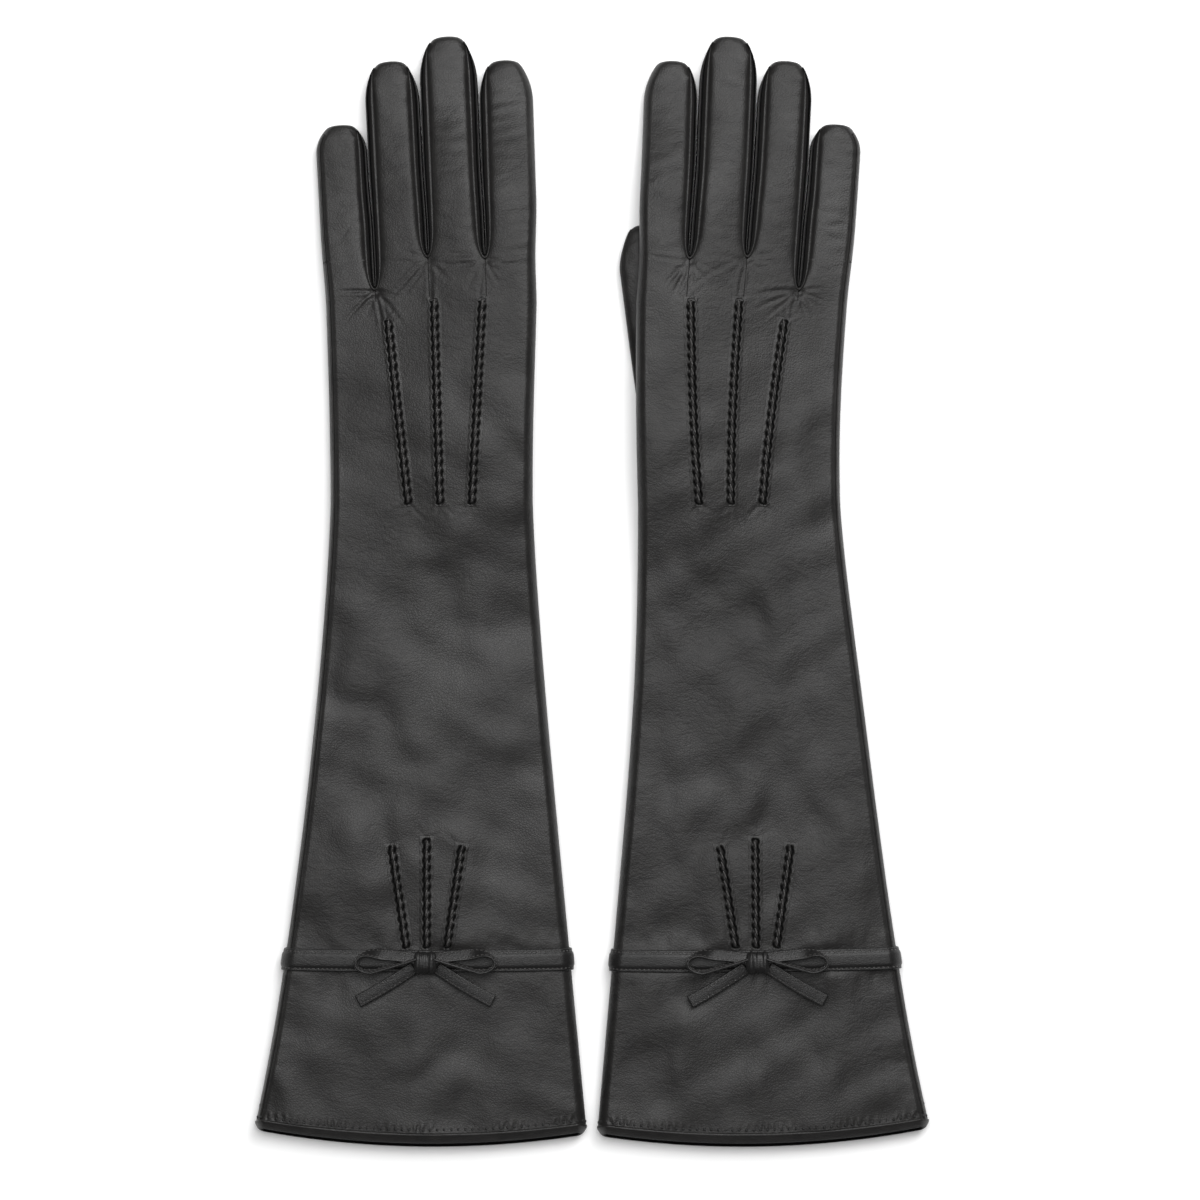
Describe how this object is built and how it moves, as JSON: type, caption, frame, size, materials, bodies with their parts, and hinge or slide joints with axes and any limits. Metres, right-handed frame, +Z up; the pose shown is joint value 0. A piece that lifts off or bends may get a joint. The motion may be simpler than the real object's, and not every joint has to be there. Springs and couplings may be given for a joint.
{
  "type": "opera gloves",
  "caption": "Pair of elbow-length leather dress gloves lying flat, with raised point stitching, a thin strap and bow above each flared hem, bending fingers and wrists.",
  "frame": {"origin": "middle of the pair's footprint, on the table they lie on", "axes": "+Y from the hems towards the fingertips, +Z up from the table, +X towards the right-hand glove"},
  "size_m": [0.2788, 0.4606, 0.022],
  "materials": {
    "nappa_leather": "soft semi-matt black nappa with fine grain and creases",
    "trim_leather": "semi-matt black nappa strip, edge stitched",
    "point_stitching": "black braided silk-look thread drawn over a pinched fold",
    "lining_cloth": "black fine knit lining"
  },
  "bodies": {
    "left_sleeve": {"left_sleeve": "nappa_leather", "left_sleeve_lining": "lining_cloth", "left_cuff_binding": "trim_leather", "left_strap": "trim_leather", "left_bow_knot": "trim_leather", "left_bow_tail_outer": "trim_leather", "left_bow_loop_outer": "trim_leather", "left_bow_tail_inner": "trim_leather", "left_bow_loop_inner": "trim_leather", "left_cuff_point_outer": "point_stitching", "left_cuff_point_middle": "point_stitching", "left_cuff_point_inner": "point_stitching"},
    "left_hand": {"left_hand": "nappa_leather", "left_hand_lining": "lining_cloth", "left_hand_point_little": "point_stitching", "left_hand_point_middle": "point_stitching", "left_hand_point_index": "point_stitching"},
    "left_thumb": {"left_thumb": "nappa_leather"},
    "left_little": {"left_little_fourchette": "nappa_leather", "left_little_finger": "nappa_leather"},
    "left_ring": {"left_ring_fourchette_little_side": "nappa_leather", "left_ring_fourchette_index_side": "nappa_leather", "left_ring_finger": "nappa_leather"},
    "left_middle": {"left_middle_fourchette_little_side": "nappa_leather", "left_middle_fourchette_index_side": "nappa_leather", "left_middle_finger": "nappa_leather"},
    "left_index": {"left_index_fourchette": "nappa_leather", "left_index_finger": "nappa_leather"},
    "right_sleeve": {"right_sleeve": "nappa_leather", "right_sleeve_lining": "lining_cloth", "right_cuff_binding": "trim_leather", "right_strap": "trim_leather", "right_bow_knot": "trim_leather", "right_bow_tail_outer": "trim_leather", "right_bow_loop_outer": "trim_leather", "right_bow_tail_inner": "trim_leather", "right_bow_loop_inner": "trim_leather", "right_cuff_point_outer": "point_stitching", "right_cuff_point_middle": "point_stitching", "right_cuff_point_inner": "point_stitching"},
    "right_hand": {"right_hand": "nappa_leather", "right_hand_lining": "lining_cloth", "right_hand_point_little": "point_stitching", "right_hand_point_middle": "point_stitching", "right_hand_point_index": "point_stitching"},
    "right_thumb": {"right_thumb": "nappa_leather"},
    "right_little": {"right_little_fourchette": "nappa_leather", "right_little_finger": "nappa_leather"},
    "right_ring": {"right_ring_fourchette_little_side": "nappa_leather", "right_ring_fourchette_index_side": "nappa_leather", "right_ring_finger": "nappa_leather"},
    "right_middle": {"right_middle_fourchette_little_side": "nappa_leather", "right_middle_fourchette_index_side": "nappa_leather", "right_middle_finger": "nappa_leather"},
    "right_index": {"right_index_fourchette": "nappa_leather", "right_index_finger": "nappa_leather"}
  },
  "joints": [
    {"name": "left_wrist", "type": "hinge", "parent": "left_sleeve", "child": "left_hand", "pos_m": [-0.0663, 0.02264, 0.0123], "axis": [1, 0, 0], "range_deg": [0, 60]},
    {"name": "left_thumb_swing", "type": "hinge", "parent": "left_hand", "child": "left_thumb", "pos_m": [-0.0353, 0.07764, 0.0076], "axis": [0, 0, -1], "range_deg": [0, 20]},
    {"name": "left_little_knuckle", "type": "hinge", "parent": "left_hand", "child": "left_little", "pos_m": [-0.1004, 0.12474, 0.01201], "axis": [0.9985, 0.0541, 0], "range_deg": [0, 45]},
    {"name": "left_ring_knuckle", "type": "hinge", "parent": "left_hand", "child": "left_ring", "pos_m": [-0.0787, 0.13174, 0.01703], "axis": [0.9987, 0.0506, 0], "range_deg": [0, 45]},
    {"name": "left_middle_knuckle", "type": "hinge", "parent": "left_hand", "child": "left_middle", "pos_m": [-0.0558, 0.13824, 0.0199], "axis": [0.999, 0.0436, 0], "range_deg": [0, 45]},
    {"name": "left_index_knuckle", "type": "hinge", "parent": "left_hand", "child": "left_index", "pos_m": [-0.0334, 0.13824, 0.0199], "axis": [0.9994, 0.0349, 0], "range_deg": [0, 45]},
    {"name": "right_wrist", "type": "hinge", "parent": "right_sleeve", "child": "right_hand", "pos_m": [0.0641, 0.02263, 0.0123], "axis": [1, 0.0087, 0], "range_deg": [0, 60]},
    {"name": "right_thumb_swing", "type": "hinge", "parent": "right_hand", "child": "right_thumb", "pos_m": [0.03262, 0.07736, 0.0076], "axis": [0, 0, 1], "range_deg": [-12, 6]},
    {"name": "right_little_knuckle", "type": "hinge", "parent": "right_hand", "child": "right_little", "pos_m": [0.0973, 0.12503, 0.01201], "axis": [0.999, -0.0454, 0], "range_deg": [0, 45]},
    {"name": "right_ring_knuckle", "type": "hinge", "parent": "right_hand", "child": "right_ring", "pos_m": [0.07554, 0.13184, 0.01703], "axis": [0.9991, -0.0419, 0], "range_deg": [0, 45]},
    {"name": "right_middle_knuckle", "type": "hinge", "parent": "right_hand", "child": "right_middle", "pos_m": [0.05259, 0.13814, 0.0199], "axis": [0.9994, -0.0349, 0], "range_deg": [0, 45]},
    {"name": "right_index_knuckle", "type": "hinge", "parent": "right_hand", "child": "right_index", "pos_m": [0.03019, 0.13794, 0.0199], "axis": [0.9997, -0.0262, 0], "range_deg": [0, 45]},
    {"name": "right_glove_slide", "type": "slide", "parent": "left_sleeve", "child": "right_sleeve", "axis": [1, 0, 0], "range_m": [0, 0.15]}
  ]
}
